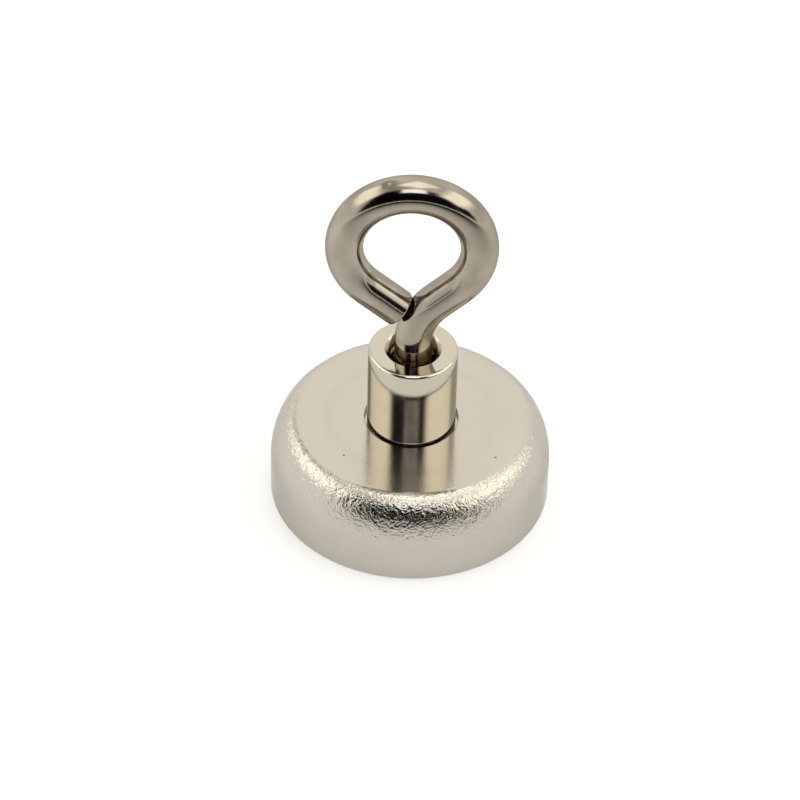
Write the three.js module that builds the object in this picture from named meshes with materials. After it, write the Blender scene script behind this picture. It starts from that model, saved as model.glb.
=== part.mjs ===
// A magnet fishing magnet: a deep-drawn steel pot with a disc magnet potted in its open side, a threaded
// bush riveted through its back, and an eyebolt bent from one wire that screws into the bush.
// Millimetres, +Z up. The pot's open face lies on z = 0, and the bush's axis is the Z axis.
// The eye's plane is the XZ plane.
import * as THREE from 'three';

// Where two faces touch, one stands back by this much.
const TOUCH_GAP = 0.03;

// The pot, open at the bottom
const POT_RADIUS = 12.5;
const POT_HEIGHT = 8;
const POT_SHOULDER_WIDTH = 2.6;
const POT_SHOULDER_HEIGHT = 4.5;
const POT_FLOOR_THICKNESS = 2.4;
const POT_WALL_THICKNESS = 1.6;
const POT_INNER_CORNER = 0.8;
const POT_RIM_BREAK = 0.15;

// The bush: it sits in a shallow seat in the pot's back, and its spigot is flared inside the pot.
const BUSH_RADIUS = 3.95;
const BUSH_RISE = 8;
const BUSH_TOP_CHAMFER = 0.25;
const BUSH_FOOT_CHAMFER = 0.15;
const BUSH_SEAT_DEPTH = 0.5;
const BUSH_SEAT_GAP = 0.22;
const SPIGOT_RADIUS = 3;
const SPIGOT_FLARE = 0.6;
const SPIGOT_FLARE_HEIGHT = 0.8;

// The bush's M4 thread is a plain bore here, of the thread's major diameter and some clearance.
const BORE_RADIUS = 2.05;
const BORE_MOUTH_RADIUS = 2.52;

// The magnet and what holds it in the pot
const MAGNET_RADIUS = 10;
const MAGNET_CHAMFER = 0.25;
const ADHESIVE_THICKNESS = 0.3;
const ADHESIVE_RADIUS = 9.8;
const RESIN_RECESS = 0.2;

// The eyebolt, one bent wire: an eye with two straight legs that lean in to the stem
const WIRE_RADIUS = 1.65;
const EYE_RADIUS = 5.8;
const EYE_CENTRE_X = -0.36;
const EYE_CENTRE_Z = 27.3;
const STEM_LEG_SLOPE = THREE.MathUtils.degToRad(43.8);
const FREE_LEG_SLOPE = THREE.MathUtils.degToRad(40.2);
const FREE_LEG_LENGTH = 3.75;
const STEM_BEND_RADIUS = 6;

// The eyebolt's M4 thread, a plain rod of the thread's outer diameter
const THREAD_RADIUS = 1.95;
const THREAD_LENGTH = 8;
const THREAD_END_Z = 6.2;
const THREAD_END_CHAMFER = 0.4;

// How finely curves are cut into facets
const TURNED_SIDES = 72;
const SMALL_TURNED_SIDES = 36;
const ARC_STEPS = 6;
const WIRE_SIDES_HALVED = 10;
const WIRE_STEPS = 84;

const QUARTER_TURN = Math.PI / 2;
const CAVITY_TOP = POT_HEIGHT - POT_FLOOR_THICKNESS;
const CAVITY_RADIUS = POT_RADIUS - POT_WALL_THICKNESS;
const MAGNET_TOP = CAVITY_TOP - ADHESIVE_THICKNESS;
const BUSH_FOOT = POT_HEIGHT - BUSH_SEAT_DEPTH;
const BUSH_TOP = POT_HEIGHT + BUSH_RISE;
const THREAD_TOP = THREAD_END_Z + THREAD_LENGTH;

// A turned solid about the Z axis. The section is a path in radius and height that runs up the outside.
function turned(section, sides) {
  return new THREE.LatheGeometry(section.getPoints(ARC_STEPS), sides).rotateX(QUARTER_TURN);
}

function potGeometry() {
  const shoulderRadius = POT_RADIUS - POT_SHOULDER_WIDTH;
  const shoulderFoot = POT_HEIGHT - POT_SHOULDER_HEIGHT;
  const seatRadius = BUSH_RADIUS + BUSH_SEAT_GAP;
  const holeRadius = SPIGOT_RADIUS + TOUCH_GAP;
  const section = new THREE.Path();
  section.moveTo(POT_RADIUS - POT_RIM_BREAK, 0);
  section.lineTo(POT_RADIUS, POT_RIM_BREAK);
  section.lineTo(POT_RADIUS, shoulderFoot);
  section.absellipse(
    shoulderRadius, shoulderFoot, POT_SHOULDER_WIDTH, POT_SHOULDER_HEIGHT, 0, QUARTER_TURN, false,
  );
  section.lineTo(seatRadius, POT_HEIGHT);
  section.lineTo(seatRadius, BUSH_FOOT - TOUCH_GAP);
  section.lineTo(holeRadius, BUSH_FOOT - TOUCH_GAP);
  section.lineTo(holeRadius, CAVITY_TOP + SPIGOT_FLARE_HEIGHT);
  section.lineTo(holeRadius + SPIGOT_FLARE, CAVITY_TOP);
  section.absarc(
    CAVITY_RADIUS - POT_INNER_CORNER, CAVITY_TOP - POT_INNER_CORNER, POT_INNER_CORNER, QUARTER_TURN, 0, true,
  );
  section.lineTo(CAVITY_RADIUS, 0);
  section.closePath();
  return turned(section, TURNED_SIDES);
}

function bushGeometry() {
  const section = new THREE.Path();
  section.moveTo(BORE_RADIUS, CAVITY_TOP);
  section.lineTo(SPIGOT_RADIUS + SPIGOT_FLARE, CAVITY_TOP);
  section.lineTo(SPIGOT_RADIUS, CAVITY_TOP + SPIGOT_FLARE_HEIGHT);
  section.lineTo(SPIGOT_RADIUS, BUSH_FOOT);
  section.lineTo(BUSH_RADIUS - BUSH_FOOT_CHAMFER, BUSH_FOOT);
  section.lineTo(BUSH_RADIUS, BUSH_FOOT + BUSH_FOOT_CHAMFER);
  section.lineTo(BUSH_RADIUS, BUSH_TOP - BUSH_TOP_CHAMFER);
  section.lineTo(BUSH_RADIUS - BUSH_TOP_CHAMFER, BUSH_TOP);
  section.lineTo(BORE_MOUTH_RADIUS, BUSH_TOP);
  section.lineTo(BORE_RADIUS, BUSH_TOP - (BORE_MOUTH_RADIUS - BORE_RADIUS));
  section.closePath();
  return turned(section, TURNED_SIDES);
}

function magnetGeometry() {
  const section = new THREE.Path();
  section.moveTo(0, 0);
  section.lineTo(MAGNET_RADIUS - MAGNET_CHAMFER, 0);
  section.lineTo(MAGNET_RADIUS, MAGNET_CHAMFER);
  section.lineTo(MAGNET_RADIUS, MAGNET_TOP - MAGNET_CHAMFER);
  section.lineTo(MAGNET_RADIUS - MAGNET_CHAMFER, MAGNET_TOP);
  section.lineTo(0, MAGNET_TOP);
  return turned(section, TURNED_SIDES);
}

function adhesiveGeometry() {
  const section = new THREE.Path();
  section.moveTo(0, MAGNET_TOP + TOUCH_GAP);
  section.lineTo(ADHESIVE_RADIUS, MAGNET_TOP + TOUCH_GAP);
  section.lineTo(ADHESIVE_RADIUS, CAVITY_TOP - TOUCH_GAP);
  section.lineTo(0, CAVITY_TOP - TOUCH_GAP);
  return turned(section, TURNED_SIDES);
}

function resinGeometry() {
  const inner = MAGNET_RADIUS + TOUCH_GAP;
  const outer = CAVITY_RADIUS - TOUCH_GAP;
  const top = CAVITY_TOP - POT_INNER_CORNER;
  const section = new THREE.Path();
  section.moveTo(inner, RESIN_RECESS);
  section.lineTo(outer, RESIN_RECESS);
  section.lineTo(outer, top);
  section.lineTo(inner, top);
  section.closePath();
  return turned(section, TURNED_SIDES);
}

function threadGeometry() {
  const section = new THREE.Path();
  section.moveTo(0, THREAD_END_Z);
  section.lineTo(THREAD_RADIUS - THREAD_END_CHAMFER, THREAD_END_Z);
  section.lineTo(THREAD_RADIUS, THREAD_END_Z + THREAD_END_CHAMFER);
  section.lineTo(THREAD_RADIUS, THREAD_TOP - TOUCH_GAP);
  section.lineTo(0, THREAD_TOP - TOUCH_GAP);
  return turned(section, SMALL_TURNED_SIDES);
}

// A point at an angle on the eye's middle circle
function onEye(angle) {
  return new THREE.Vector2(
    EYE_CENTRE_X + EYE_RADIUS * Math.cos(angle),
    EYE_CENTRE_Z + EYE_RADIUS * Math.sin(angle),
  );
}

// The middle line of the bent wire, a flat route of straights and arcs in the XZ plane
class WireRoute extends THREE.Curve {
  constructor() {
    super();
    const freeLegAngle = 3 * QUARTER_TURN - FREE_LEG_SLOPE;
    const stemLegAngle = STEM_LEG_SLOPE - QUARTER_TURN;
    const freeLegTop = onEye(freeLegAngle);
    const stemLegTop = onEye(stemLegAngle);
    const kneeZ = stemLegTop.y - stemLegTop.x * Math.tan(STEM_LEG_SLOPE);
    const bendZ = kneeZ - STEM_BEND_RADIUS * Math.tan((QUARTER_TURN - STEM_LEG_SLOPE) / 2);
    this.flat = new THREE.Path();
    this.flat.moveTo(
      freeLegTop.x + FREE_LEG_LENGTH * Math.cos(FREE_LEG_SLOPE),
      freeLegTop.y - FREE_LEG_LENGTH * Math.sin(FREE_LEG_SLOPE),
    );
    this.flat.lineTo(freeLegTop.x, freeLegTop.y);
    this.flat.absarc(EYE_CENTRE_X, EYE_CENTRE_Z, EYE_RADIUS, freeLegAngle, stemLegAngle, true);
    this.flat.absarc(
      STEM_BEND_RADIUS, bendZ, STEM_BEND_RADIUS, QUARTER_TURN + STEM_LEG_SLOPE, 2 * QUARTER_TURN, false,
    );
    this.flat.lineTo(0, THREAD_TOP);
  }

  getPoint(t, target = new THREE.Vector3()) {
    const point = this.flat.getPoint(t);
    return target.set(point.x, 0, point.y);
  }
}

function eyeGeometry() {
  const round = new THREE.Shape();
  round.absarc(0, 0, WIRE_RADIUS, 0, 4 * QUARTER_TURN, false);
  return new THREE.ExtrudeGeometry(round, {
    steps: WIRE_STEPS,
    curveSegments: WIRE_SIDES_HALVED,
    extrudePath: new WireRoute(),
  });
}

function piece(name, geometry, color, roughness, metalness) {
  const mesh = new THREE.Mesh(geometry, new THREE.MeshStandardMaterial({ color, roughness, metalness }));
  mesh.name = name;
  return mesh;
}

const pot = new THREE.Group();
pot.add(
  piece('pot_cup', potGeometry(), 0xbab2a6, 0.32, 1),
  piece('threaded_bush', bushGeometry(), 0xc9c5bd, 0.12, 1),
  piece('disc_magnet', magnetGeometry(), 0xb4b1ab, 0.28, 1),
  piece('adhesive_bed', adhesiveGeometry(), 0x6b6558, 0.6, 0),
  piece('resin_ring', resinGeometry(), 0x24221f, 0.45, 0),
);

const eyebolt = new THREE.Group();
eyebolt.add(
  piece('eyebolt_thread', threadGeometry(), 0xb5ad9f, 0.3, 1),
  piece('eyebolt_eye', eyeGeometry(), 0xb5ad9f, 0.24, 1),
);

const fishingMagnet = new THREE.Group();
fishingMagnet.add(pot, eyebolt);

export default fishingMagnet;
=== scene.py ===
"""A magnet fishing magnet: a nickel-plated steel pot magnet, its threaded bush and a bent-wire eyebolt.

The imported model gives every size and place. Each piece is a surface worked out here around it, with its
own plated, ground or cast finish, and stands in a plain white light tent. Lengths are metres, +Z up.
"""

import logging
import math
from collections.abc import Mapping, Sequence
from dataclasses import dataclass
from enum import Enum

import bpy
import numpy as np
from mathutils import Matrix, Vector
from numpy.typing import NDArray


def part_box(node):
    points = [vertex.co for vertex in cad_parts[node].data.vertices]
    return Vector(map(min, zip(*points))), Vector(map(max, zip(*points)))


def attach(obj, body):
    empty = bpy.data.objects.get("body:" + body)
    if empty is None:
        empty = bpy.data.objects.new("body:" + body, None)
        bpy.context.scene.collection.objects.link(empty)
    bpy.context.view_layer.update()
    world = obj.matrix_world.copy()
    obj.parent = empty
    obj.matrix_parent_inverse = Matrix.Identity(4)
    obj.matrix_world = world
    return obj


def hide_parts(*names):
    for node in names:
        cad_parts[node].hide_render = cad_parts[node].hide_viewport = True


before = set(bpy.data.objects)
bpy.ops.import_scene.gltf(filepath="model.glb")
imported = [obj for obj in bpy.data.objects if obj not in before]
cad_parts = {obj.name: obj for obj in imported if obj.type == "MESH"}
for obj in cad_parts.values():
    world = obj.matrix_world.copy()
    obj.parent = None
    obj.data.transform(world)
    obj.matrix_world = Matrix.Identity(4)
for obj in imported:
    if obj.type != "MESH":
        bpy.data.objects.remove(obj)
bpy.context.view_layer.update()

Array = NDArray[np.float64]
Tree = bpy.types.NodeTree
Socket = bpy.types.NodeSocket

MM = 0.001
FULL_TURN = 2.0 * math.pi
QUARTER_TURN = 0.5 * math.pi
# A turned piece's ends start this far from the axis, so that its first and last rows are rings.
POLE_RADIUS = 0.05 * MM
# The bush's foot stands this far off the pot's seat.
SEAT_GAP = 0.03 * MM
# How far apart the rows lie on a thread
THREAD_STEP = 0.035 * MM
# Nearly all of a noise texture's values lie between these.
NOISE_BULK = (0.3, 0.7)
LOG = logging.getLogger("magnet")


class Body(Enum):
    """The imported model's bodies that pieces ride on."""

    MAGNET = "magnet_body"
    EYEBOLT = "eyebolt"


class Slot(Enum):
    """The record's material slots."""

    POT = "pot_nickel"
    BUSH = "bush_nickel"
    MAGNET = "magnet_nickel"
    ADHESIVE = "adhesive"
    RESIN = "resin"
    EYEBOLT = "eyebolt_nickel"


# ---------------------------------------------------------------- surfaces


def smoothstep(low: float, high: float, value: Array) -> Array:
    """Rise smoothly from 0 at low to 1 at high, as 3t^2 - 2t^3.

    Args:
        low: Where the rise starts.
        high: Where it ends. It may be below low, for a fall.
        value: Where to take it.

    Returns:
        Numbers from 0 to 1.
    """
    t = np.clip((value - low) / (high - low), 0.0, 1.0)
    return t * t * (3.0 - 2.0 * t)


@dataclass(frozen=True)
class SolidNoise:
    """A smooth random field in space: random values on a cubic lattice, blended between its points."""

    cell: float
    seed: int
    lattice: int = 24

    def sample(self, points: Array) -> Array:
        """Take the field at points.

        The value is the blend of the cell's eight corners, with weights 3f^2 - 2f^3 of the place in it.

        Args:
            points: Places, with x, y and z on the last axis.

        Returns:
            Values from -1 to 1, one for each place.
        """
        values = np.random.default_rng(self.seed).uniform(-1.0, 1.0, (self.lattice,) * 3)
        place = points / self.cell
        corner = np.floor(place).astype(int)
        part = place - corner
        part = part * part * (3.0 - 2.0 * part)
        total = np.zeros(points.shape[:-1])
        for step in np.ndindex(2, 2, 2):
            index = (corner + np.array(step)) % self.lattice
            weight = np.prod(np.where(np.array(step) == 1, part, 1.0 - part), axis=-1)
            total += weight * values[index[..., 0], index[..., 1], index[..., 2]]
        return total


@dataclass(frozen=True)
class Corner:
    """A corner of a section, in radius and height, and the radius that it is rounded with."""

    r: float
    z: float
    fillet: float = 0.0


@dataclass(frozen=True)
class Outline:
    """A section made of straights between corners, each corner rounded by an arc."""

    corners: Sequence[Corner]
    closed: bool
    step: float = 0.3 * MM
    edge_guard: float = 0.03 * MM
    arc_steps: int = 8

    def points(self) -> Array:
        """Walk the outline.

        A rounded corner's arc is tangent to both straights, so it starts at fillet * tan(half the turn)
        from the corner. Straights are cut evenly, with one more point just inside each end, which keeps
        shading flat up to the arcs.

        Returns:
            Radius and height of each point, in order. A closed outline doesn't repeat its first point.
        """
        places = np.array([(c.r, c.z) for c in self.corners])
        count = len(places)
        arcs = [self._arc(places, i) for i in range(count)]
        pieces = []
        for i in range(count if self.closed else count - 1):
            pieces.append(arcs[i])
            pieces.append(self._straight(arcs[i][-1], arcs[(i + 1) % count][0]))
        if not self.closed:
            pieces.append(arcs[-1])
        walk = np.concatenate(pieces)
        apart = np.linalg.norm(np.diff(walk, axis=0, append=walk[:1]), axis=1) > 1e-9
        if not self.closed:
            apart[-1] = True
        return walk[apart]

    def _arc(self, places: Array, i: int) -> Array:
        """Give the points of corner i's arc, or the corner alone where it is sharp."""
        corner = self.corners[i]
        if corner.fillet <= 0.0 or (not self.closed and i in (0, len(places) - 1)):
            return places[i : i + 1]
        before = places[i - 1] - places[i]
        after = places[(i + 1) % len(places)] - places[i]
        before /= np.linalg.norm(before)
        after /= np.linalg.norm(after)
        half = 0.5 * math.acos(float(np.clip(before @ after, -1.0, 1.0)))
        middle = before + after
        centre = places[i] + middle / np.linalg.norm(middle) * corner.fillet / math.sin(half)
        start = places[i] + before * corner.fillet / math.tan(half)
        end = places[i] + after * corner.fillet / math.tan(half)
        first = math.atan2(*(start - centre)[::-1])
        turn = math.atan2(*(end - centre)[::-1]) - first
        turn = (turn + math.pi) % FULL_TURN - math.pi
        angle = first + np.linspace(0.0, turn, self.arc_steps + 1)
        return centre + corner.fillet * np.stack([np.cos(angle), np.sin(angle)], axis=1)

    def _straight(self, start: Array, end: Array) -> Array:
        """Give the points inside a straight, without its ends."""
        length = float(np.linalg.norm(end - start))
        if length < 4.0 * self.edge_guard:
            return np.empty((0, 2))
        inner = np.linspace(0.0, 1.0, max(int(length / self.step), 1) + 1)[1:-1]
        guard = self.edge_guard / length
        inner = inner[(inner > 2 * guard) & (inner < 1 - 2 * guard)]
        part = np.unique(np.concatenate([[guard], inner, [1 - guard]]))
        return start + part[:, None] * (end - start)


def turned_points(section: Array, sides: int) -> Array:
    """Carry a section about the Z axis: (r cos a, r sin a, z).

    Args:
        section: Radius and height of each row.
        sides: How many columns go round.

    Returns:
        A grid of points, rows by sides by 3.
    """
    angle = np.arange(sides) / sides * FULL_TURN
    r = section[:, :1]
    z = np.broadcast_to(section[:, 1:], (len(section), sides))
    return np.stack([r * np.cos(angle), r * np.sin(angle), z], axis=-1)


def grid_normals(grid: Array, closed: bool) -> Array:
    """Give each grid point's unit normal: the cross product of its two central differences.

    Args:
        grid: Rows by columns by 3, closed round its columns.
        closed: Whether the rows close as well.

    Returns:
        Unit vectors. Their sense is that of columns crossed with rows.
    """
    around = np.roll(grid, -1, axis=1) - np.roll(grid, 1, axis=1)
    along = np.roll(grid, -1, axis=0) - np.roll(grid, 1, axis=0)
    if not closed:
        along[0] = grid[1] - grid[0]
        along[-1] = grid[-1] - grid[-2]
    normal = np.cross(around, along)
    return normal / np.maximum(np.linalg.norm(normal, axis=-1, keepdims=True), 1e-12)


@dataclass(frozen=True)
class GridSurface:
    """A closed surface on a grid that closes round its columns.

    Its rows either close as well, as on a ring, or end in two poles.
    """

    grid: Array
    closed: bool

    def to_object(self, name: str, **attributes: Array) -> bpy.types.Object:
        """Put the surface into a mesh object at the origin, smooth shaded, faces outward.

        Args:
            name: The object's name.
            attributes: One number for each grid point, by attribute name.

        Returns:
            The object, linked to the scene.
        """
        rows, sides, _ = self.grid.shape
        points = self.grid.reshape(-1, 3)
        number = np.arange(rows * sides).reshape(rows, sides)
        below = number if self.closed else number[:-1]
        above = np.roll(number, -1, axis=0) if self.closed else number[1:]
        quads = np.stack([below, np.roll(below, -1, axis=1), np.roll(above, -1, axis=1), above], axis=-1)
        quads = quads.reshape(-1, 4)
        fans = np.empty((0, 3), int)
        if not self.closed:
            poles = self.grid[[0, -1]].mean(axis=1)
            first = np.stack([np.roll(number[0], -1), number[0], np.full(sides, len(points))], axis=-1)
            last = np.stack([number[-1], np.roll(number[-1], -1), np.full(sides, len(points) + 1)], axis=-1)
            points = np.concatenate([points, poles])
            fans = np.concatenate([first, last])
        if self._volume(points, quads, fans) < 0.0:
            quads, fans = quads[:, ::-1], fans[:, ::-1]
        mesh = bpy.data.meshes.new(name)
        corners = np.concatenate([quads.ravel(), fans.ravel()]).astype(np.int32)
        sizes = np.concatenate([np.full(len(quads), 4), np.full(len(fans), 3)])
        starts = np.concatenate([[0], np.cumsum(sizes)[:-1]]).astype(np.int32)
        mesh.vertices.add(len(points))
        mesh.vertices.foreach_set("co", points.astype(np.float32).ravel())
        mesh.loops.add(len(corners))
        mesh.loops.foreach_set("vertex_index", corners)
        mesh.polygons.add(len(sizes))
        mesh.polygons.foreach_set("loop_start", starts)
        mesh.polygons.foreach_set("use_smooth", np.ones(len(sizes), bool))
        mesh.update(calc_edges=True)
        for label, values in attributes.items():
            layer = mesh.attributes.new(label, "FLOAT", "POINT")
            full = np.zeros(len(points), np.float32)
            full[: rows * sides] = np.broadcast_to(values, (rows, sides)).ravel()
            layer.data.foreach_set("value", full)
        mesh.validate()
        thing = bpy.data.objects.new(name, mesh)
        bpy.context.scene.collection.objects.link(thing)
        return thing

    @staticmethod
    def _volume(points: Array, quads: NDArray[np.int64], fans: NDArray[np.int64]) -> float:
        """Sum the signed volumes of the tetrahedra from the origin to each triangle."""
        triangles = np.concatenate([quads[:, [0, 1, 2]], quads[:, [0, 2, 3]], fans])
        a, b, c = (points[triangles[:, k]] for k in range(3))
        return float(np.einsum("ij,ij->i", a, np.cross(b, c)).sum())


# ---------------------------------------------------------------- finishes


def linear(hex_colour: str) -> tuple[float, float, float, float]:
    """Turn an sRGB colour such as "#c8c0b4" into linear red, green, blue and an alpha of 1."""
    parts = (int(hex_colour[i : i + 2], 16) / 255.0 for i in (1, 3, 5))
    red, green, blue = (p / 12.92 if p <= 0.04045 else ((p + 0.055) / 1.055) ** 2.4 for p in parts)
    return red, green, blue, 1.0


def add_node(
    tree: Tree, kind: str, inputs: Mapping[str | int, object] | None = None, **settings: object
) -> bpy.types.Node:
    """Add a node with its settings, its values and its links.

    Args:
        tree: The node tree.
        kind: The node's type, such as ShaderNodeBump.
        inputs: For each input, by name or number, a value or the output socket that feeds it.
        settings: The node's own properties.

    Returns:
        The node.
    """
    node = tree.nodes.new(kind)
    for name, value in settings.items():
        setattr(node, name, value)
    for key, value in (inputs or {}).items():
        if isinstance(value, Socket):
            tree.links.new(value, node.inputs[key])
        else:
            node.inputs[key].default_value = value
    return node


def new_tree(name: str) -> tuple[bpy.types.Material, Tree]:
    """Make an empty node material, and give it with its tree."""
    material = bpy.data.materials.new(name)
    material.use_nodes = True
    material.node_tree.nodes.clear()
    return material, material.node_tree


def maths(tree: Tree, operation: str, *values: object) -> Socket:
    """Work out a number from numbers, each a socket or a value."""
    return add_node(tree, "ShaderNodeMath", dict(enumerate(values)), operation=operation).outputs[0]


def measure(tree: Tree, operation: str, *values: object) -> Socket:
    """Work out a number from vectors: a length, a distance or a dot product."""
    node = add_node(tree, "ShaderNodeVectorMath", dict(enumerate(values)), operation=operation)
    return node.outputs["Value"]


def in_millimetres(tree: Tree) -> Socket:
    """Give the object's own coordinates in millimetres."""
    place = add_node(tree, "ShaderNodeTexCoord")
    return add_node(
        tree, "ShaderNodeMapping", {"Vector": place.outputs["Object"], "Scale": (1 / MM,) * 3}
    ).outputs["Vector"]


def noise(tree: Tree, place: Socket, size_mm: float, detail: float) -> Socket:
    """Give smooth noise over a place in millimetres, with blobs about size_mm across."""
    node = add_node(tree, "ShaderNodeTexNoise", {"Vector": place, "Scale": 1 / size_mm, "Detail": detail})
    return node.outputs[0]


def blend(tree: Tree, share: Socket, under: object, over: object) -> Socket:
    """Mix two colours, each a socket or a value: under where the share is 0 and over where it is 1."""
    return add_node(tree, "ShaderNodeMix", {0: share, 6: under, 7: over}, data_type="RGBA").outputs[2]


def rescale(tree: Tree, value: Socket, before: tuple[float, float], after: tuple[float, float]) -> Socket:
    """Carry a value from the range before to the range after, held at both ends."""
    ends = {"From Min": before[0], "From Max": before[1], "To Min": after[0], "To Max": after[1]}
    return add_node(tree, "ShaderNodeMapRange", {"Value": value, **ends}).outputs[0]


def relief(tree: Tree, height: Socket, height_mm: float) -> Socket:
    """Give the normal of a fine relief whose height from 0 to 1 stands for height_mm."""
    inputs = {"Height": height, "Distance": height_mm * MM, "Strength": 1.0}
    return add_node(tree, "ShaderNodeBump", inputs).outputs[0]


def attribute(tree: Tree, name: str) -> Socket:
    """Read a number that the piece's mesh carries at each point."""
    return add_node(tree, "ShaderNodeAttribute", attribute_name=name).outputs["Fac"]


def plate(tree: Tree, colour: Socket, edge: str, roughness: object, normal: Socket) -> None:
    """Finish a tree as plated metal.

    Args:
        tree: The node tree.
        colour: The colour seen square on.
        edge: The tint seen at a grazing angle.
        roughness: A number or a socket.
        normal: The relief's normal.
    """
    shader = add_node(
        tree,
        "ShaderNodeBsdfPrincipled",
        {
            "Base Color": colour,
            "Metallic": 1.0,
            "Specular Tint": linear(edge),
            "Roughness": roughness,
            "Normal": normal,
        },
    )
    add_node(tree, "ShaderNodeOutputMaterial", {"Surface": shader.outputs[0]})


@dataclass(frozen=True)
class SatinNickelPlate:
    """Nickel electroplated on deep-drawn steel: a soft warm mirror.

    The draw stretches the steel's skin over the shoulder into an orange-peel grain, which the plating
    follows and which breaks reflections up into glints. The flats keep the sheet's smooth face.
    """

    name: str = "satin_nickel_on_drawn_steel"
    light: str = "#c6c0b8"
    dull: str = "#bab4ab"
    edge: str = "#dededc"
    roughness: float = 0.13
    roughness_spread: float = 0.06
    # The grain of drawn sheet is about a quarter of a millimetre across.
    grain_mm: float = 0.22
    grain_height_mm: float = 0.07
    cloud_mm: float = 5.0
    # A ring of painted shade on the back, standing for a faint dish in the flat, and two pits drawn as dark
    # dots
    ring_radius_mm: float = 7.4
    ring_width_mm: float = 0.8
    painted_shade_ring: str = "#beb8ad"
    pits_mm: tuple[tuple[float, float, float], ...] = ((-5.8, -5.4, 8.0), (7.5, -5.1, 8.0))
    pit_radius_mm: float = 0.14
    pit_shade: str = "#4a463e"
    mark_core: float = 0.2

    def material(self) -> bpy.types.Material:
        """Build the material. It reads the attribute "grain", the share of orange peel at each point."""
        material, tree = new_tree(self.name)
        place = in_millimetres(tree)
        clouds = noise(tree, place, self.cloud_mm, 3.0)
        grain = noise(tree, place, self.grain_mm, 2.0)
        peel = maths(tree, "MULTIPLY", grain, attribute(tree, "grain"))
        colour = blend(tree, clouds, linear(self.dull), linear(self.light))
        flat = {0: place, 1: (1.0, 1.0, 0.0)}
        radius = add_node(tree, "ShaderNodeVectorMath", flat, operation="MULTIPLY").outputs[0]
        past_ring = maths(tree, "SUBTRACT", measure(tree, "LENGTH", radius), self.ring_radius_mm)
        off_ring = maths(tree, "ABSOLUTE", past_ring)
        # Painted shade: a darker ring on the flat where a faint dish would shade it
        colour = self._marked(tree, colour, off_ring, self.ring_width_mm, self.painted_shade_ring)
        for pit in self.pits_mm:
            away = measure(tree, "DISTANCE", place, pit)
            colour = self._marked(tree, colour, away, self.pit_radius_mm, self.pit_shade)
        most = self.roughness + self.roughness_spread
        rough = rescale(tree, clouds, NOISE_BULK, (self.roughness, most))
        plate(tree, colour, self.edge, rough, relief(tree, peel, self.grain_height_mm))
        return material

    def _marked(self, tree: Tree, under: Socket, away: Socket, reach: float, shade: str) -> Socket:
        """Lay a mark, the painted shade ring or a pit's dark dot, over a colour: full at its middle and gone
        at its reach.
        """
        share = rescale(tree, away, (reach, self.mark_core * reach), (0.0, 1.0))
        return blend(tree, share, under, linear(shade))


@dataclass(frozen=True)
class BrightNickelPlate:
    """Bright nickel plated on turned steel: a clear mirror with the lathe's faint rings in it.

    The bore and the mouth round it are coloured dark brown: painted shade, for the darkness in the hole.
    """

    name: str = "bright_nickel_on_turned_steel"
    colour: str = "#c2bbae"
    # Painted shade for the bore and its mouth
    bore: str = "#75694f"
    edge: str = "#cfcfcd"
    roughness: float = 0.05
    # A finishing cut's feed marks, a few hundredths of a millimetre apart, drawn at 0.08.
    feed_mm: float = 0.08
    feed_height_mm: float = 0.0005
    # Handling smears, which are duller by this many times
    smear_mm: float = 0.9
    smeared: float = 2.2

    def material(self) -> bpy.types.Material:
        """Build the material. It reads the attribute "bore", which is 1 inside the bore.

        Feed marks follow radius plus height, which runs along the whole section.
        """
        material, tree = new_tree(self.name)
        place = in_millimetres(tree)
        parts = add_node(tree, "ShaderNodeSeparateXYZ", {0: place})
        flat = add_node(tree, "ShaderNodeCombineXYZ", {0: parts.outputs[0], 1: parts.outputs[1]})
        along = maths(tree, "ADD", measure(tree, "LENGTH", flat.outputs[0]), parts.outputs[2])
        cut = {"W": along, "Scale": 1 / self.feed_mm, "Detail": 2.0}
        feed = add_node(tree, "ShaderNodeTexNoise", cut, noise_dimensions="1D").outputs[0]
        smear = noise(tree, place, self.smear_mm, 5.0)
        # Painted shade: the bore and the mouth round it are coloured dark brown
        colour = blend(tree, attribute(tree, "bore"), linear(self.colour), linear(self.bore))
        rough = rescale(tree, smear, (0.4, 0.75), (self.roughness, self.smeared * self.roughness))
        plate(tree, colour, self.edge, rough, relief(tree, feed, self.feed_height_mm))
        return material


@dataclass(frozen=True)
class WireNickelPlate:
    """Nickel plated on cold-drawn wire: smooth and slightly satin, with clouds where the wire was bent.

    The cut end is a torn, dull face. Its dark colour is partly bare steel and partly painted shade, for the
    shadowed gap where the end meets the other leg.
    """

    name: str = "nickel_on_drawn_wire"
    light: str = "#aaa297"
    dull: str = "#988f84"
    edge: str = "#c4c4c2"
    # The cut end's dark colour: partly bare steel, partly painted shade
    torn: str = "#3d372f"
    torn_roughness: float = 0.45
    roughness: float = 0.09
    roughness_spread: float = 0.05
    cloud_mm: float = 2.4
    skin_mm: float = 0.35
    skin_height_mm: float = 0.002

    def material(self) -> bpy.types.Material:
        """Build the material. It reads the attribute "torn", which is 1 on the cut end."""
        material, tree = new_tree(self.name)
        place = in_millimetres(tree)
        clouds = noise(tree, place, self.cloud_mm, 4.0)
        skin = noise(tree, place, self.skin_mm, 2.0)
        torn = attribute(tree, "torn")
        patches = rescale(tree, clouds, (0.32, 0.68), (0.0, 1.0))
        colour = blend(tree, patches, linear(self.dull), linear(self.light))
        # The cut end is painted dark: partly bare steel, partly painted shade
        colour = blend(tree, torn, colour, linear(self.torn))
        satin = rescale(tree, clouds, NOISE_BULK, (self.roughness, self.roughness + self.roughness_spread))
        rough = add_node(tree, "ShaderNodeMix", {0: torn, 2: satin, 3: self.torn_roughness}).outputs[0]
        plate(tree, colour, self.edge, rough, relief(tree, skin, self.skin_height_mm))
        return material


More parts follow.
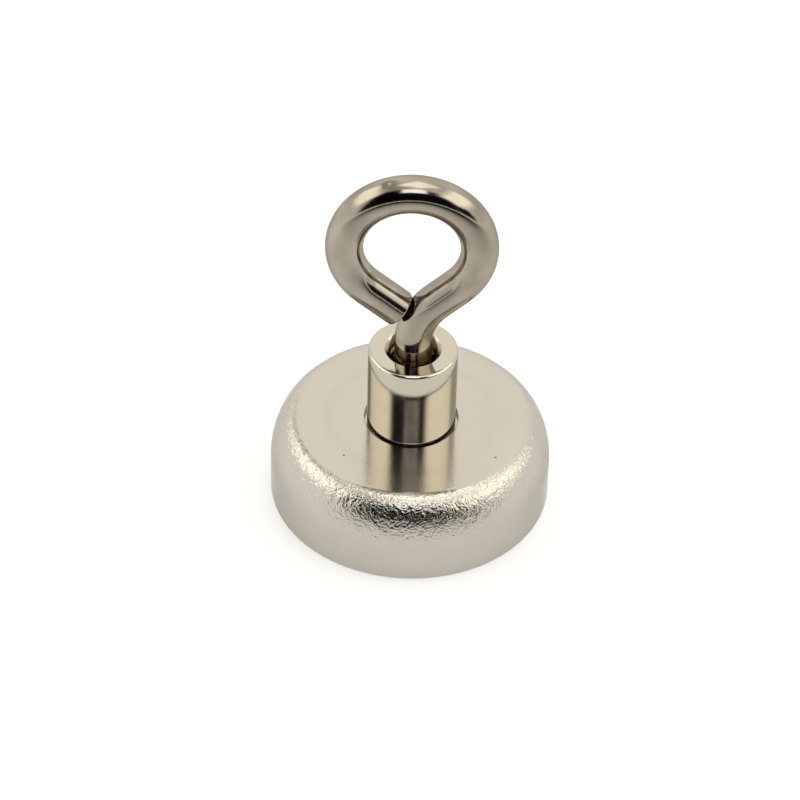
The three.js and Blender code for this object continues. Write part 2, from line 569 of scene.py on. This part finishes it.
@dataclass(frozen=True)
class GroundNickelPlate:
    """Nickel plated on a ground sintered magnet: even, a little dull, with fine one-way grinding lines."""

    name: str = "nickel_on_ground_magnet"
    light: str = "#c4bfb6"
    dull: str = "#b1aca2"
    edge: str = "#cfcfcd"
    roughness: float = 0.22
    # A grinding wheel's lines are hundredths of a millimetre apart, drawn at 0.12 across and 4 along.
    line_mm: float = 0.12
    line_length_mm: float = 4.0
    line_angle: float = 0.4
    line_height_mm: float = 0.0012

    def material(self) -> bpy.types.Material:
        """Build the material."""
        material, tree = new_tree(self.name)
        scale = (1 / self.line_length_mm, 1 / self.line_mm, 1 / self.line_mm)
        turned = {"Vector": in_millimetres(tree), "Rotation": (0.0, 0.0, self.line_angle), "Scale": scale}
        drawn_out = add_node(tree, "ShaderNodeMapping", turned).outputs[0]
        lines = noise(tree, drawn_out, 1.0, 3.0)
        colour = blend(tree, lines, linear(self.dull), linear(self.light))
        plate(tree, colour, self.edge, self.roughness, relief(tree, lines, self.line_height_mm))
        return material


@dataclass(frozen=True)
class CastResin:
    """Epoxy cast in place: glossy, slightly wavy, with specks of trapped dust."""

    name: str
    colour: str
    speck: str
    roughness: float = 0.18
    ripple_mm: float = 1.2
    ripple_height_mm: float = 0.02
    speck_mm: float = 0.3
    ior: float = 1.55

    def material(self) -> bpy.types.Material:
        """Build the material."""
        material, tree = new_tree(self.name)
        place = in_millimetres(tree)
        ripple = noise(tree, place, self.ripple_mm, 2.0)
        dust = noise(tree, place, self.speck_mm, 4.0)
        seen = rescale(tree, dust, (0.6, 0.72), (0.0, 0.6))
        shader = add_node(
            tree,
            "ShaderNodeBsdfPrincipled",
            {
                "Base Color": blend(tree, seen, linear(self.colour), linear(self.speck)),
                "Roughness": self.roughness,
                "IOR": self.ior,
                "Normal": relief(tree, ripple, self.ripple_height_mm),
            },
        )
        add_node(tree, "ShaderNodeOutputMaterial", {"Surface": shader.outputs[0]})
        return material


def dress(thing: bpy.types.Object, finish: bpy.types.Material, body: Body, slot: Slot, *nodes: str) -> None:
    """Give a finished piece its finish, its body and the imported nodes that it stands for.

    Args:
        thing: The piece.
        finish: Its material.
        body: The body that it rides on.
        slot: The record's material slot. Not used.
        nodes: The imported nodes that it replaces.
    """
    thing.data.materials.append(finish)
    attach(thing, body.value)
    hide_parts(*nodes)
    LOG.info("%s: %d faces, on %s", thing.name, len(thing.data.polygons), body.value)


# ---------------------------------------------------------------- the pot and what it holds


@dataclass(frozen=True)
class Pot:
    """The deep-drawn cup, open at the bottom, with the bush's seat and hole in its back."""

    radius: float
    height: float
    floor_z: float
    shoulder_width: float = 2.6 * MM
    shoulder_height: float = 4.5 * MM
    wall: float = 1.6 * MM
    inner_corner: float = 0.8 * MM
    rim_round: float = 0.15 * MM
    seat_radius: float = 4.17 * MM
    seat_depth: float = 0.53 * MM
    seat_edge_round: float = 0.06 * MM
    hole_radius: float = 3.03 * MM
    flare: float = 0.6 * MM
    flare_height: float = 0.8 * MM
    # The orange peel: its coarse bumps, its finer ones as a share of those, and the trace off the shoulder
    peel_cell: float = 0.34 * MM
    peel_height: float = 0.019 * MM
    fine_cell: float = 0.55
    fine_height: float = 0.6
    peel_trace: float = 0.05
    # It grows over this part of the pot's height, and this far out from the flat's edge
    peel_rise: tuple[float, float] = (0.3, 0.6)
    peel_start: tuple[float, float] = (0.1 * MM, 0.8 * MM)
    shoulder_rows: int = 70
    # Where the section starts and ends, on the inner wall, as a share of the height
    seam: float = 0.4
    # How far apart the rows lie where the surface is plain
    plain_step: float = 1.2 * MM
    sides: int = 720

    @classmethod
    def from_frame(cls) -> "Pot":
        """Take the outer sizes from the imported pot, and the inner floor from what lies against it."""
        low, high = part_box("pot_cup")
        return cls(radius=high.x, height=high.z - low.z, floor_z=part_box("threaded_bush")[0].z)

    def shoulder(self) -> Array:
        """Give the shoulder's section, evenly spaced: a quarter ellipse from the wall to the back."""
        t = np.linspace(0.0, QUARTER_TURN, 400)
        curve = np.stack(
            [
                self.radius - self.shoulder_width * (1.0 - np.cos(t)),
                self.height - self.shoulder_height * (1.0 - np.sin(t)),
            ],
            axis=1,
        )
        run = np.concatenate([[0.0], np.cumsum(np.linalg.norm(np.diff(curve, axis=0), axis=1))])
        even = np.linspace(0.0, run[-1], self.shoulder_rows)
        return np.stack([np.interp(even, run, curve[:, 0]), np.interp(even, run, curve[:, 1])], axis=1)

    def section(self) -> tuple[Array, NDArray[np.bool_]]:
        """Give the whole closed section, from the rim up the outside and back down the inside.

        Returns:
            Radius and height of each row, and whether the row is on the outside.
        """
        shoulder = self.shoulder()
        inner = self.radius - self.wall
        seat_z = self.height - self.seat_depth
        rim = Outline(
            [
                Corner(inner, self.seam * self.height),
                Corner(inner, 0.0, self.rim_round),
                Corner(self.radius, 0.0, self.rim_round),
                Corner(self.radius, shoulder[0, 1]),
            ],
            closed=False,
            step=self.plain_step,
            arc_steps=5,
        ).points()
        back = Outline(
            [
                Corner(self.radius - self.shoulder_width, self.height),
                Corner(self.seat_radius, self.height, self.seat_edge_round),
                Corner(self.seat_radius, seat_z),
                Corner(self.hole_radius, seat_z),
                Corner(self.hole_radius, self.floor_z + self.flare_height),
                Corner(self.hole_radius + self.flare, self.floor_z),
                Corner(inner, self.floor_z, self.inner_corner),
                Corner(inner, self.seam * self.height),
            ],
            closed=False,
            step=self.plain_step,
            arc_steps=5,
        ).points()
        on_back = (back[:-1, 1] > self.height - 0.1 * self.seat_depth) & (back[:-1, 0] > self.seat_radius)
        outside = np.concatenate([np.ones(len(rim) + len(shoulder) - 2, bool), on_back])
        return np.concatenate([rim[:-1], shoulder[:-1], back[:-1]]), outside

    def peel_share(self, section: Array, outside: NDArray[np.bool_]) -> Array:
        """Give how much of the orange peel each row has: all on the shoulder, a trace elsewhere."""
        flat_edge = self.radius - self.shoulder_width
        up = smoothstep(*self.peel_rise, section[:, 1] / self.height)
        out = smoothstep(*self.peel_start, section[:, 0] - flat_edge)
        return np.where(outside, self.peel_trace + (1.0 - self.peel_trace) * up * out, 0.0)[:, None]

    def build(self) -> bpy.types.Object:
        """Build the cup. The peel pushes each point along its normal by two octaves of noise."""
        section, outside = self.section()
        grid = turned_points(section, self.sides)
        share = self.peel_share(section, outside)
        bumps = SolidNoise(self.peel_cell, seed=11).sample(grid)
        bumps += self.fine_height * SolidNoise(self.fine_cell * self.peel_cell, seed=12).sample(grid)
        grid = grid + (share * bumps * self.peel_height)[..., None] * grid_normals(grid, closed=True)
        grid[..., 2] = np.maximum(grid[..., 2], 0.0)
        return GridSurface(grid, closed=True).to_object("pot_shell", grain=share)


@dataclass(frozen=True)
class DiscMagnet:
    """The sintered disc magnet, flush with the pot's rim, its edges tumbled round."""

    radius: float
    bottom: float
    top: float
    edge_round: float = 0.3 * MM
    sides: int = 256

    @classmethod
    def from_frame(cls) -> "DiscMagnet":
        """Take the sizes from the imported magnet."""
        low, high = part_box("disc_magnet")
        return cls(radius=high.x, bottom=low.z, top=high.z)

    def build(self) -> bpy.types.Object:
        """Build the disc as a turned section with rounded edges."""
        outline = Outline(
            [
                Corner(POLE_RADIUS, self.bottom),
                Corner(self.radius, self.bottom, self.edge_round),
                Corner(self.radius, self.top, self.edge_round),
                Corner(POLE_RADIUS, self.top),
            ],
            closed=False,
            step=1.0 * MM,
        )
        grid = turned_points(outline.points(), self.sides)
        return GridSurface(grid, closed=False).to_object("magnet_disc_face")


@dataclass(frozen=True)
class Potting:
    """What holds the magnet: an adhesive bed behind it and a ring of resin round it."""

    magnet_radius: float
    wall_radius: float
    ring_bottom: float
    ring_top: float
    bed_radius: float
    bed_bottom: float
    bed_top: float
    meniscus: float = 0.16 * MM
    waviness: float = 0.04 * MM
    squeeze: float = 0.25 * MM
    wall_gap: float = 0.01 * MM
    sides: int = 256

    @classmethod
    def from_frame(cls) -> "Potting":
        """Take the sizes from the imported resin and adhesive, which lie just clear of their neighbours."""
        ring_low, ring_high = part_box("resin_ring")
        bed_low, bed_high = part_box("adhesive_bed")
        return cls(
            magnet_radius=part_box("disc_magnet")[1].x,
            wall_radius=ring_high.x,
            ring_bottom=ring_low.z,
            ring_top=ring_high.z,
            bed_radius=bed_high.x,
            bed_bottom=bed_low.z,
            bed_top=bed_high.z,
        )

    def build_ring(self) -> bpy.types.Object:
        """Build the resin ring.

        Its face climbs both walls as a meniscus, as the square of the distance from the gap's middle.
        """
        across = np.linspace(-1.0, 1.0, 13)
        half = 0.5 * (self.wall_radius - self.magnet_radius) - self.wall_gap
        middle = 0.5 * (self.wall_radius + self.magnet_radius)
        face = np.stack([middle + half * across, self.ring_bottom - self.meniscus * across**2], axis=1)
        edges = (self.wall_radius - self.wall_gap, self.magnet_radius + self.wall_gap)
        back = np.array([[radius, self.ring_top] for radius in edges])
        grid = turned_points(np.concatenate([face, back]), self.sides)
        sag = SolidNoise(2.5 * MM, seed=21).sample(grid) * self.waviness
        grid[: len(face), :, 2] += (sag[: len(face)].T * (1.0 - across**2)).T
        return GridSurface(grid, closed=True).to_object("resin_potting_ring")

    def build_bed(self) -> bpy.types.Object:
        """Build the adhesive bed: a thin disc whose edge wanders where it was squeezed out."""
        thickness = self.bed_top - self.bed_bottom
        outline = Outline(
            [
                Corner(POLE_RADIUS, self.bed_bottom),
                Corner(self.bed_radius - self.squeeze, self.bed_bottom, 0.45 * thickness),
                Corner(self.bed_radius - self.squeeze, self.bed_top, 0.45 * thickness),
                Corner(POLE_RADIUS, self.bed_top),
            ],
            closed=False,
            step=1.0 * MM,
        )
        grid = turned_points(outline.points(), self.sides)
        spread = 1.0 + SolidNoise(3.0 * MM, seed=22).sample(grid) * self.squeeze / self.bed_radius
        grid[..., :2] *= spread[..., None]
        return GridSurface(grid, closed=False).to_object("adhesive_layer")


# ---------------------------------------------------------------- threads, bush and eyebolt


@dataclass(frozen=True)
class ScrewThread:
    """A right-hand thread with 60 degree flanks, truncated at crest and root."""

    inner: float
    outer: float
    crest_flat: float
    pitch: float = 0.7 * MM

    def ridge(self, z: Array, angle: Array, offset: float) -> Array:
        """Give the ridge's height, from 0 in the root to 1 on the crest.

        The ridge lies where z / pitch - angle / full turn + offset is half-way between whole numbers, and
        falls off on both sides at 60 degrees to the axis' normal.

        Args:
            z: Heights.
            angle: Angles about the axis.
            offset: A shift along the axis, in pitches.

        Returns:
            Heights, broadcast over z and angle.
        """
        phase = (z / self.pitch - angle / FULL_TURN + offset) % 1.0
        away = np.abs(phase - 0.5) * self.pitch - 0.5 * self.crest_flat
        flank = (self.outer - self.inner) * math.tan(math.radians(30.0))
        return np.clip(1.0 - away / flank, 0.0, 1.0)

    def bolt_radius(self, z: Array, angle: Array) -> Array:
        """Give the radius of an outside thread."""
        return self.inner + (self.outer - self.inner) * self.ridge(z, angle, 0.0)

    def nut_radius(self, z: Array, angle: Array) -> Array:
        """Give the radius of an inside thread, half a pitch from the outside one, so that they mesh."""
        return self.outer - (self.outer - self.inner) * self.ridge(z, angle, 0.5)


@dataclass(frozen=True)
class ThreadedBush:
    """The turned bush: a mirror-bright sleeve with an M4 thread inside and a spigot flared into the pot."""

    radius: float
    bottom: float
    top: float
    seat_z: float
    top_round: float = 0.28 * MM
    foot_round: float = 0.15 * MM
    spigot_radius: float = 3.0 * MM
    flare: float = 0.6 * MM
    flare_height: float = 0.8 * MM
    mouth_radius: float = 2.52 * MM
    mouth_edge_round: float = 0.08 * MM
    thread: ScrewThread = ScrewThread(1.7 * MM, 2.05 * MM, 0.12 * MM)
    sides: int = 192

    @classmethod
    def from_frame(cls, pot: Pot) -> "ThreadedBush":
        """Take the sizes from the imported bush, and its seat from the pot."""
        low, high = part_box("threaded_bush")
        return cls(radius=high.x, bottom=low.z, top=high.z, seat_z=pot.height - pot.seat_depth + SEAT_GAP)

    def build(self) -> bpy.types.Object:
        """Build the sleeve as a turned section whose bore follows the thread."""
        bore = self.thread.outer
        outside = Outline(
            [
                Corner(bore, self.bottom),
                Corner(self.spigot_radius + self.flare, self.bottom, 0.05 * MM),
                Corner(self.spigot_radius, self.bottom + self.flare_height),
                Corner(self.spigot_radius, self.seat_z),
                Corner(self.radius, self.seat_z, self.foot_round),
                Corner(self.radius, self.top, self.top_round),
                Corner(self.mouth_radius, self.top, self.mouth_edge_round),
                Corner(bore, self.top - (self.mouth_radius - bore)),
            ],
            closed=False,
            step=0.5 * MM,
        ).points()
        mouth_foot = outside[-1, 1]
        bore_z = np.arange(mouth_foot, self.bottom, -THREAD_STEP)[1:]
        section = np.concatenate([outside, np.stack([np.full(len(bore_z), bore), bore_z], axis=1)])
        grid = turned_points(section, self.sides)
        angle = np.arange(self.sides) / self.sides * FULL_TURN
        radius = self.thread.nut_radius(bore_z[:, None], angle)
        lead_in = bore - (mouth_foot - bore_z[:, None])
        lead_out = bore - (bore_z[:, None] - self.bottom)
        radius = np.maximum(radius, np.maximum(lead_in, lead_out))
        rows = slice(len(outside), None)
        grid[rows, :, 0] = radius * np.cos(angle)
        grid[rows, :, 1] = radius * np.sin(angle)
        # The share of painted shade, from the mouth's edge into the bore
        within = smoothstep(self.mouth_radius, bore, np.hypot(grid[..., 0], grid[..., 1]))
        return GridSurface(grid, closed=True).to_object("bush_sleeve", bore=within)


@dataclass(frozen=True)
class Eyebolt:
    """The eyebolt, one wire bent into an eye, with a rolled thread on its stem."""

    wire_radius: float
    eye_radius: float
    eye_x: float
    eye_z: float
    thread_end: float
    thread_top: float
    stem_leg_slope: float = math.radians(43.8)
    free_leg_slope: float = math.radians(40.2)
    free_leg_length: float = 3.75 * MM
    bend_radius: float = 6.0 * MM
    end_round: float = 0.16 * MM
    spacing: float = 0.12 * MM
    waviness: float = 0.006 * MM
    # A nick on the eye's top: how far round the eye and round the wire, its width and its depth
    nick_round_eye: float = math.radians(107.4)
    nick_round_wire: float = math.radians(79.0)
    nick_width: float = 0.28 * MM
    nick_depth: float = 0.05 * MM
    thread: ScrewThread = ScrewThread(1.52 * MM, 1.95 * MM, 0.0875 * MM)
    sides: int = 72

    @classmethod
    def from_frame(cls) -> "Eyebolt":
        """Take the wire, the eye and the thread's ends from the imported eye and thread."""
        low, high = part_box("eyebolt_eye")
        wire = 0.5 * (high.y - low.y)
        eye = 0.5 * (high.x - low.x) - wire
        thread_low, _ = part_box("eyebolt_thread")
        return cls(
            wire_radius=wire,
            eye_radius=eye,
            eye_x=0.5 * (high.x + low.x),
            eye_z=high.z - eye - wire,
            thread_end=thread_low.z,
            thread_top=low.z,
        )

    def route(self) -> tuple[Array, Array]:
        """Give the wire's middle line in the XZ plane, and its unit direction, at even spacing.

        The line runs up the free leg, over the eye, down the other leg and round a bend into the stem.

        Returns:
            Points and directions, each count by 2.
        """
        free_angle = 1.5 * math.pi - self.free_leg_slope
        stem_angle = self.stem_leg_slope - QUARTER_TURN
        centre = np.array([self.eye_x, self.eye_z])
        free_top = centre + self.eye_radius * np.array([math.cos(free_angle), math.sin(free_angle)])
        free_way = np.array([math.cos(self.free_leg_slope), -math.sin(self.free_leg_slope)])
        stem_top = centre + self.eye_radius * np.array([math.cos(stem_angle), math.sin(stem_angle)])
        knee_z = stem_top[1] - stem_top[0] * math.tan(self.stem_leg_slope)
        turn = QUARTER_TURN - self.stem_leg_slope
        bend_z = knee_z - self.bend_radius * math.tan(0.5 * turn)
        bend_centre = np.array([self.bend_radius, bend_z])
        bend_start = math.pi - turn
        bend_top = bend_centre + self.bend_radius * np.array([math.cos(bend_start), math.sin(bend_start)])
        stretches = [
            self._line(free_top + free_way * self.free_leg_length, free_top),
            self._arc(centre, self.eye_radius, free_angle, stem_angle),
            self._line(stem_top, bend_top),
            self._arc(bend_centre, self.bend_radius, bend_start, math.pi),
            self._line(np.array([0.0, bend_z]), np.array([0.0, self.thread_top])),
        ]
        points = np.concatenate([s[:-1] for s in stretches] + [stretches[-1][-1:]])
        way = np.gradient(points, axis=0)
        return points, way / np.linalg.norm(way, axis=1, keepdims=True)

    def _line(self, start: Array, end: Array) -> Array:
        """Give evenly spaced points from start to end."""
        count = max(int(np.linalg.norm(end - start) / self.spacing), 2)
        return start + np.linspace(0.0, 1.0, count)[:, None] * (end - start)

    def _arc(self, centre: Array, radius: float, start: float, end: float) -> Array:
        """Give evenly spaced points on an arc between two angles."""
        angle = np.linspace(start, end, max(int(abs(end - start) * radius / self.spacing), 2))
        return centre + radius * np.stack([np.cos(angle), np.sin(angle)], axis=1)

    def build_eye(self) -> bpy.types.Object:
        """Build the bent wire: a circle carried along the route, its ends closed by rounded edges and flats.

        A point is c + r (cos a * n + sin a * y), with c on the route and n square to it in its plane. The
        nick is a dimple whose depth goes as exp(-d^2), with d the distance from its middle in widths.
        """
        points, way = self.route()
        square = np.stack([way[:, 1], -way[:, 0]], axis=1)
        t = np.linspace(0.0, QUARTER_TURN, 7)
        flat = np.linspace(1.0, 0.15, 5)[1:] * (self.wire_radius - self.end_round)
        radii = np.concatenate([self.wire_radius - self.end_round * (1.0 - np.cos(t)), flat])
        ahead = np.concatenate([self.end_round * np.sin(t), np.full(len(flat), self.end_round)])
        start = points[0] + way[0] * self.end_round
        end = points[-1] - way[-1] * self.end_round
        inner = (points - start) @ way[0] > 0.0
        inner[len(points) // 2 :] = (end - points[len(points) // 2 :]) @ way[-1] > 0.0
        before = start - ahead[::-1, None] * way[0]
        after = end + ahead[:, None] * way[-1]
        rows = np.concatenate([before, points[inner], after])
        normals = np.concatenate(
            [np.tile(square[0], (len(ahead), 1)), square[inner], np.tile(square[-1], (len(ahead), 1))]
        )
        size = np.concatenate([radii[::-1], np.full(int(inner.sum()), self.wire_radius), radii])
        angle = np.arange(self.sides) / self.sides * FULL_TURN
        out = size[:, None] * np.cos(angle)
        grid = np.stack(
            [
                rows[:, :1] + out * normals[:, :1],
                size[:, None] * np.sin(angle),
                rows[:, 1:] + out * normals[:, 1:],
            ],
            axis=-1,
        )
        outward = np.array([math.cos(self.nick_round_eye), 0.0, math.sin(self.nick_round_eye)])
        nick = np.array([self.eye_x, 0.0, self.eye_z]) + self.eye_radius * outward
        nick += self.wire_radius * (
            outward * math.sin(self.nick_round_wire) - np.array([0.0, math.cos(self.nick_round_wire), 0.0])
        )
        away = np.linalg.norm(grid - nick, axis=-1) / self.nick_width
        lift = SolidNoise(1.6 * MM, seed=31).sample(grid) * self.waviness
        lift -= self.nick_depth * np.exp(-(away**2))
        grid = grid + lift[..., None] * self._outward(grid, rows)
        # The cut end's rows, painted dark as partly bare steel and partly painted shade
        torn = (np.arange(len(rows)) < len(ahead) // 2)[:, None].astype(float)
        return GridSurface(grid, closed=False).to_object("eye_wire", torn=torn)

    @staticmethod
    def _outward(grid: Array, rows: Array) -> Array:
        """Give each point's unit direction away from the wire's middle line."""
        middle = np.stack([rows[:, 0], np.zeros(len(rows)), rows[:, 1]], axis=1)[:, None]
        apart = grid - middle
        return apart / np.maximum(np.linalg.norm(apart, axis=-1, keepdims=True), 1e-9)

    def build_thread(self) -> bpy.types.Object:
        """Build the rolled thread, with a chamfered end and a run-out up to the plain wire."""
        z = np.arange(self.thread_end, self.thread_top, THREAD_STEP)
        angle = np.arange(self.sides) / self.sides * FULL_TURN
        height = z[:, None]
        radius = self.thread.bolt_radius(height, angle)
        tip = self.thread.inner - 0.1 * MM + (height - self.thread_end)
        slope = (self.thread.outer - self.wire_radius) / (0.5 * self.thread.pitch)
        left = self.thread_top - height
        radius = np.minimum(np.minimum(radius, tip), self.wire_radius + slope * left)
        radius = np.maximum(radius, np.minimum(self.wire_radius - slope * left, tip))
        level = np.broadcast_to(height, radius.shape)
        side = np.stack([radius * np.cos(angle), radius * np.sin(angle), level], axis=-1)
        shrink = np.array([0.7, 0.4, 0.05])[:, None, None]
        under = side[:1] * np.array([1.0, 1.0, 0.0]) * shrink[::-1] + np.array([0.0, 0.0, self.thread_end])
        over = side[-1:] * np.array([1.0, 1.0, 0.0]) * shrink + np.array([0.0, 0.0, z[-1]])
        grid = np.concatenate([under, side, over])
        return GridSurface(grid, closed=False).to_object("rolled_thread", torn=np.zeros((1, 1)))


# ---------------------------------------------------------------- the studio


@dataclass(frozen=True)
class Panel:
    """A soft-edged rectangle on the tent's inside. Angles are in degrees.

    Azimuth is counted from the front towards +X. The edge is how far the brightness takes to change.
    """

    azimuth: float
    elevation: float
    half_width: float
    half_height: float
    edge: float
    colour: str
    strength: float

    def share(self, tree: Tree, way: Socket) -> Socket:
        """Give how much of the light from a direction comes from the panel.

        The direction's parts across and up the panel, each as an angle from its middle, are compared with
        the panel's half width and half height.

        Args:
            tree: The world's node tree.
            way: The direction.

        Returns:
            A number from 0 outside the panel to 1 inside.
        """
        turn = Matrix.Rotation(math.radians(self.azimuth), 3, "Z") @ Matrix.Rotation(
            math.radians(-self.elevation), 3, "X"
        )
        ahead = self._along(tree, way, turn @ Vector((0.0, -1.0, 0.0)))
        sides = ((Vector((1.0, 0.0, 0.0)), self.half_width), (Vector((0.0, 0.0, 1.0)), self.half_height))
        shares = []
        for axis, half in sides:
            across = self._along(tree, way, turn @ axis)
            angle = maths(tree, "ARCTAN2", maths(tree, "ABSOLUTE", across), ahead)
            inside = add_node(
                tree,
                "ShaderNodeMapRange",
                {
                    "Value": angle,
                    "From Min": math.radians(half + 0.5 * self.edge),
                    "From Max": math.radians(half - 0.5 * self.edge),
                },
                interpolation_type="SMOOTHSTEP",
            )
            shares.append(inside.outputs[0])
        return maths(tree, "MULTIPLY", *shares)

    @staticmethod
    def _along(tree: Tree, way: Socket, axis: Vector) -> Socket:
        """Give the part of a direction along an axis."""
        return measure(tree, "DOT_PRODUCT", way, tuple(axis))


@dataclass(frozen=True)
class LightTent:
    """A white light tent, open at the front, where the room is dark, with soft lamps round the object.

    The object is lit by all of it and mirrors it. Behind the object, the picture shows the plain wall.
    """

    wall: str = "#fffdf6"
    wall_strength: float = 1.05
    panels: tuple[Panel, ...] = (
        Panel(180.0, 32.0, 34.0, 40.0, 30.0, "#fffcf2", 1.25),
        Panel(-82.0, 66.0, 50.0, 10.0, 16.0, "#fff8ec", 0.62),
        # The opening, lower down reaching further to the right, with a small lamp over the camera
        Panel(-4.0, 29.0, 41.0, 33.0, 14.0, "#100e0c", 0.8),
        Panel(45.0, 8.0, 12.0, 10.0, 8.0, "#100e0c", 0.8),
        Panel(1.0, 56.0, 12.5, 10.0, 5.0, "#ffffff", 2.7),
        # A lamp on each side, and one a little behind the top
        Panel(-94.0, 37.0, 29.0, 15.0, 14.0, "#fffef0", 2.3),
        Panel(78.0, 37.0, 31.0, 15.0, 14.0, "#fffef0", 2.3),
        Panel(140.0, 81.0, 17.0, 17.0, 10.0, "#fffff4", 2.4),
    )

    def build(self) -> None:
        """Build the tent as the world: the wall's light, with each panel laid over what came before."""
        world = bpy.data.worlds.new("light_tent")
        bpy.context.scene.world = world
        world.use_nodes = True
        tree = world.node_tree
        tree.nodes.clear()
        way = add_node(tree, "ShaderNodeTexCoord").outputs["Generated"]
        wall = add_node(tree, "ShaderNodeCombineColor", self._shade(self.wall, self.wall_strength)).outputs[0]
        light = wall
        for panel in self.panels:
            shade = add_node(tree, "ShaderNodeCombineColor", self._shade(panel.colour, panel.strength))
            light = blend(tree, panel.share(tree, way), light, shade.outputs[0])
        seen = add_node(tree, "ShaderNodeLightPath").outputs["Is Camera Ray"]
        glow = add_node(tree, "ShaderNodeBackground", {"Color": blend(tree, seen, light, wall)})
        add_node(tree, "ShaderNodeOutputWorld", {"Surface": glow.outputs[0]})

    @staticmethod
    def _shade(colour: str, strength: float) -> dict[int, float]:
        """Give the red, green and blue of a light by input number."""
        return {i: part * strength for i, part in enumerate(linear(colour)[:3])}


@dataclass(frozen=True)
class PaleFloor:
    """A plain matt white sheet, lit from above and through from below.

    It dims towards the tent's opening as the object mirrors it. The picture itself shows it evenly lit,
    and from below it is clear, so that the object's underside shows. It lies a hair below the object.
    """

    half_width: float = 3.0
    gap: float = 0.02 * MM
    paper: str = "#cacacb"
    light: str = "#ffffff"
    glow: float = 0.41
    dim_place: tuple[float, float, float] = (40.0 * MM, -300.0 * MM, 0.0)
    dim_radius: float = 120.0 * MM
    lit_radius: float = 320.0 * MM

    def build(self) -> None:
        """Build the floor just below the object.

        Its brightness climbs smoothly with distance from a dim spot in front of the opening.
        """
        square = ((-1, -1), (1, -1), (1, 1), (-1, 1))
        corners = [(x * self.half_width, y * self.half_width, -self.gap) for x, y in square]
        mesh = bpy.data.meshes.new("floor")
        mesh.from_pydata(corners, [], [(0, 1, 2, 3)])
        floor = bpy.data.objects.new("floor", mesh)
        bpy.context.scene.collection.objects.link(floor)
        material, tree = new_tree("matt_white_floor")
        place = add_node(tree, "ShaderNodeTexCoord").outputs["Object"]
        away = measure(tree, "DISTANCE", place, self.dim_place)
        far = add_node(
            tree,
            "ShaderNodeMapRange",
            {"Value": away, "From Min": self.dim_radius, "From Max": self.lit_radius},
            interpolation_type="SMOOTHSTEP",
        )
        seen = add_node(tree, "ShaderNodeLightPath").outputs["Is Camera Ray"]
        lit = maths(tree, "MAXIMUM", far.outputs[0], seen)
        glow = maths(tree, "MULTIPLY", lit, self.glow)
        paper = blend(tree, lit, linear("#000000"), linear(self.paper))
        sheet = add_node(
            tree,
            "ShaderNodeBsdfPrincipled",
            {
                "Base Color": paper,
                "Roughness": 0.9,
                "Specular IOR Level": 0.0,
                "Emission Color": linear(self.light),
                "Emission Strength": glow,
            },
        )
        clear = add_node(tree, "ShaderNodeBsdfTransparent")
        below = add_node(tree, "ShaderNodeNewGeometry").outputs["Backfacing"]
        shader = add_node(tree, "ShaderNodeMixShader", {0: below, 1: sheet.outputs[0], 2: clear.outputs[0]})
        add_node(tree, "ShaderNodeOutputMaterial", {"Surface": shader.outputs[0]})
        mesh.materials.append(material)


@dataclass(frozen=True)
class StudioCamera:
    """A long lens, a little over forty degrees above the floor, with the object slightly off the middle."""

    distance: float = 0.230
    height: float = 0.21471
    tilt: float = 0.7276
    swing: float = -0.0045
    roll: float = 0.0269
    lens: float = 156.43

    def build(self) -> None:
        """Build the camera: turned up from straight down, swung about the vertical and rolled on its axis."""
        data = bpy.data.cameras.new("studio_camera")
        data.lens = self.lens
        data.sensor_width = 36.0
        data.clip_start = 0.01
        camera = bpy.data.objects.new("studio_camera", data)
        bpy.context.scene.collection.objects.link(camera)
        turn = (
            Matrix.Rotation(-self.swing, 4, "Z")
            @ Matrix.Rotation(QUARTER_TURN - self.tilt, 4, "X")
            @ Matrix.Rotation(self.roll, 4, "Z")
        )
        camera.matrix_world = Matrix.Translation(Vector((0.0, -self.distance, self.height))) @ turn
        bpy.context.scene.camera = camera


# ---------------------------------------------------------------- all together


def build_pot() -> Pot:
    """Build the pot, the magnet, the resin and the adhesive, and give the pot's sizes."""
    pot = Pot.from_frame()
    dress(pot.build(), SatinNickelPlate().material(), Body.MAGNET, Slot.POT, "pot_cup")
    magnet = DiscMagnet.from_frame()
    dress(magnet.build(), GroundNickelPlate().material(), Body.MAGNET, Slot.MAGNET, "disc_magnet")
    potting = Potting.from_frame()
    resin = CastResin("black_casting_resin", "#24221f", "#4b4740")
    dress(potting.build_ring(), resin.material(), Body.MAGNET, Slot.RESIN, "resin_ring")
    adhesive = CastResin("cured_adhesive", "#6b6558", "#8c8575")
    dress(potting.build_bed(), adhesive.material(), Body.MAGNET, Slot.ADHESIVE, "adhesive_bed")
    return pot


def build_bush(pot: Pot) -> None:
    """Build the bush in the pot's seat."""
    bush = ThreadedBush.from_frame(pot)
    dress(bush.build(), BrightNickelPlate().material(), Body.MAGNET, Slot.BUSH, "threaded_bush")


def build_eyebolt() -> None:
    """Build the eyebolt. Its thread turns with the eye, so both ride on the body that turns."""
    eyebolt = Eyebolt.from_frame()
    finish = WireNickelPlate().material()
    dress(eyebolt.build_eye(), finish, Body.EYEBOLT, Slot.EYEBOLT, "eyebolt_eye")
    dress(eyebolt.build_thread(), finish, Body.EYEBOLT, Slot.EYEBOLT, "eyebolt_thread")


def main() -> None:
    """Build the studio and the object."""
    logging.basicConfig(level=logging.INFO, format="%(message)s")
    bpy.context.scene.view_settings.view_transform = "Standard"
    StudioCamera().build()
    LightTent().build()
    PaleFloor().build()
    pot = build_pot()
    build_bush(pot)
    build_eyebolt()


if __name__ == "__main__":
    main()
